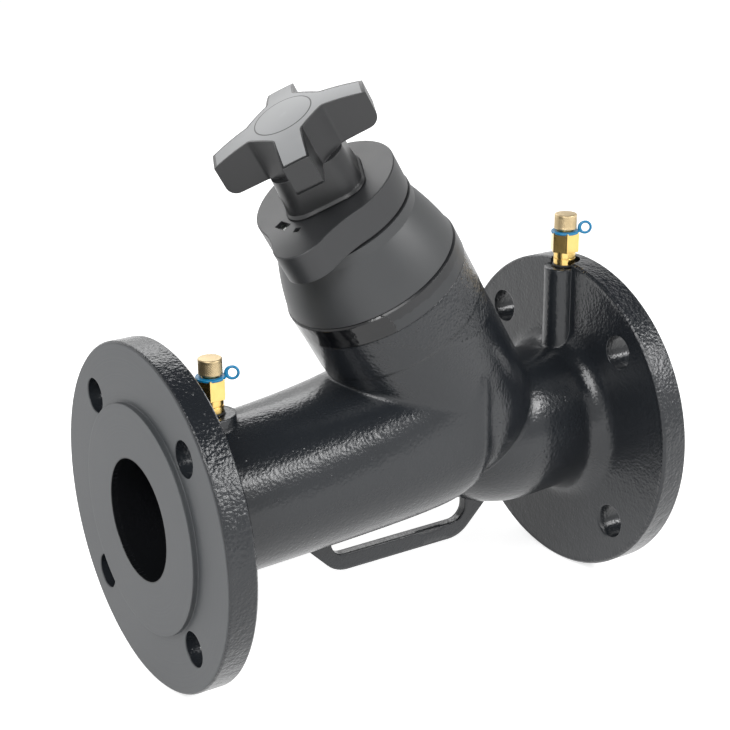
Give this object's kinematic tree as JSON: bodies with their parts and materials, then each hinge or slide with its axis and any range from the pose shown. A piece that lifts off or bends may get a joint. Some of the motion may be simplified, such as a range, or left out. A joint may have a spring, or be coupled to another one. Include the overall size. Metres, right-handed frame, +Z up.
{
  "type": "circuit balancing valve",
  "caption": "Flanged balancing valve for heating and cooling circuits, with an inclined stem, a handwheel over an opening dial, and a capped test point beside each flange.",
  "frame": {"origin": "centre of the outlet flange's raised face, on the pipe axis", "axes": "+X along the pipe axis from the outlet flange to the inlet flange; +Z up; the stem leans over the outlet in the plane y = 0"},
  "size_m": [0.29, 0.185, 0.3041],
  "materials": {
    "valve_body": "glossy black paint over a sand casting, satin on the machined flange faces",
    "bonnet": "glossy black paint on the outer ring",
    "seat_ring": "turned stainless steel",
    "plug": "machined, uncoated",
    "plug_seal": "moulded sealing rubber",
    "throttle_cone": "turned",
    "plug_screw": "turned stainless steel",
    "spindle": "turned dezincification-resistant brass",
    "thrust_washer": "slippery bearing plastic",
    "bonnet_seal": "moulded sealing rubber",
    "gland": "turned, hexagon left bright",
    "spindle_seals": "moulded sealing rubber",
    "housing_cone": "fine matte texture",
    "housing_screws": "zinc plated",
    "housing_cap": "fine matte texture",
    "window_lens": "clear plastic",
    "units_dial": "white, printed scale",
    "tenths_dial": "white, printed scale",
    "handwheel": "black glass-filled nylon, satin",
    "handwheel_plate": "light grey satin",
    "handwheel_washer": "plain",
    "handwheel_screw": "zinc plated",
    "outlet_test_point": "bright turned brass",
    "outlet_point_seal": "moulded sealing rubber",
    "outlet_point_oring": "moulded sealing rubber",
    "outlet_cap_strap": "blue flexible plastic",
    "outlet_cap": "bright brass, knurled",
    "inlet_test_point": "bright turned brass",
    "inlet_point_seal": "moulded sealing rubber",
    "inlet_point_oring": "moulded sealing rubber",
    "inlet_cap_strap": "blue flexible plastic",
    "inlet_cap": "bright brass, knurled"
  },
  "bodies": {
    "valve": {"valve_body": "valve_body", "seat_ring": "seat_ring", "bonnet": "bonnet", "bonnet_seal": "bonnet_seal", "gland": "gland", "spindle_seals": "spindle_seals", "housing_cone": "housing_cone", "housing_screws": "housing_screws", "housing_cap": "housing_cap", "window_lens": "window_lens", "outlet_test_point": "outlet_test_point", "outlet_point_seal": "outlet_point_seal", "outlet_point_oring": "outlet_point_oring", "inlet_test_point": "inlet_test_point", "inlet_point_seal": "inlet_point_seal", "inlet_point_oring": "inlet_point_oring"},
    "wheel": {"handwheel": "handwheel", "handwheel_plate": "handwheel_plate", "handwheel_washer": "handwheel_washer", "handwheel_screw": "handwheel_screw", "spindle": "spindle", "thrust_washer": "thrust_washer", "tenths_dial": "tenths_dial"},
    "plug_set": {"plug": "plug", "plug_seal": "plug_seal", "throttle_cone": "throttle_cone", "plug_screw": "plug_screw"},
    "units": {"units_dial": "units_dial"},
    "outlet_strap": {"outlet_cap_strap": "outlet_cap_strap"},
    "outlet_cap_piece": {"outlet_cap": "outlet_cap"},
    "inlet_strap": {"inlet_cap_strap": "inlet_cap_strap"},
    "inlet_cap_piece": {"inlet_cap": "inlet_cap"}
  },
  "joints": [
    {"name": "plug_lift", "type": "slide", "parent": "valve", "child": "plug_set", "axis": [-0.5, 0, 0.866], "range_m": [0, 0.02]},
    {"name": "handwheel_turn", "type": "hinge", "parent": "valve", "child": "wheel", "pos_m": [0.205, 0, 0], "axis": [-0.5, 0, 0.866], "range_deg": [0, 1800]},
    {"name": "units_dial_turn", "type": "hinge", "parent": "valve", "child": "units", "pos_m": [0.08944, -0.0228, 0.13535], "axis": [-0.5, 0, 0.866], "range_deg": [-180, 0]},
    {"name": "outlet_strap_lift", "type": "slide", "parent": "valve", "child": "outlet_strap", "axis": [0, 0, 1], "range_m": [0, 0.004]},
    {"name": "outlet_cap_turn", "type": "hinge", "parent": "outlet_strap", "child": "outlet_cap_piece", "pos_m": [0.0452, 0, 0.074], "axis": [0, 0, 1], "range_deg": [0, 1440]},
    {"name": "inlet_strap_lift", "type": "slide", "parent": "valve", "child": "inlet_strap", "axis": [0, 0, 1], "range_m": [0, 0.004]},
    {"name": "inlet_cap_turn", "type": "hinge", "parent": "inlet_strap", "child": "inlet_cap_piece", "pos_m": [0.2734, 0, 0.114], "axis": [0, 0, 1], "range_deg": [0, 1440]}
  ],
  "couplings": [
    {"joint": "handwheel_turn", "follows": "plug_lift", "rad_per_m": 1570.8},
    {"joint": "units_dial_turn", "follows": "plug_lift", "rad_per_m": -157.08},
    {"joint": "outlet_strap_lift", "follows": "outlet_cap_turn", "m_per_rad": 0.00015915},
    {"joint": "inlet_strap_lift", "follows": "inlet_cap_turn", "m_per_rad": 0.00015915}
  ]
}
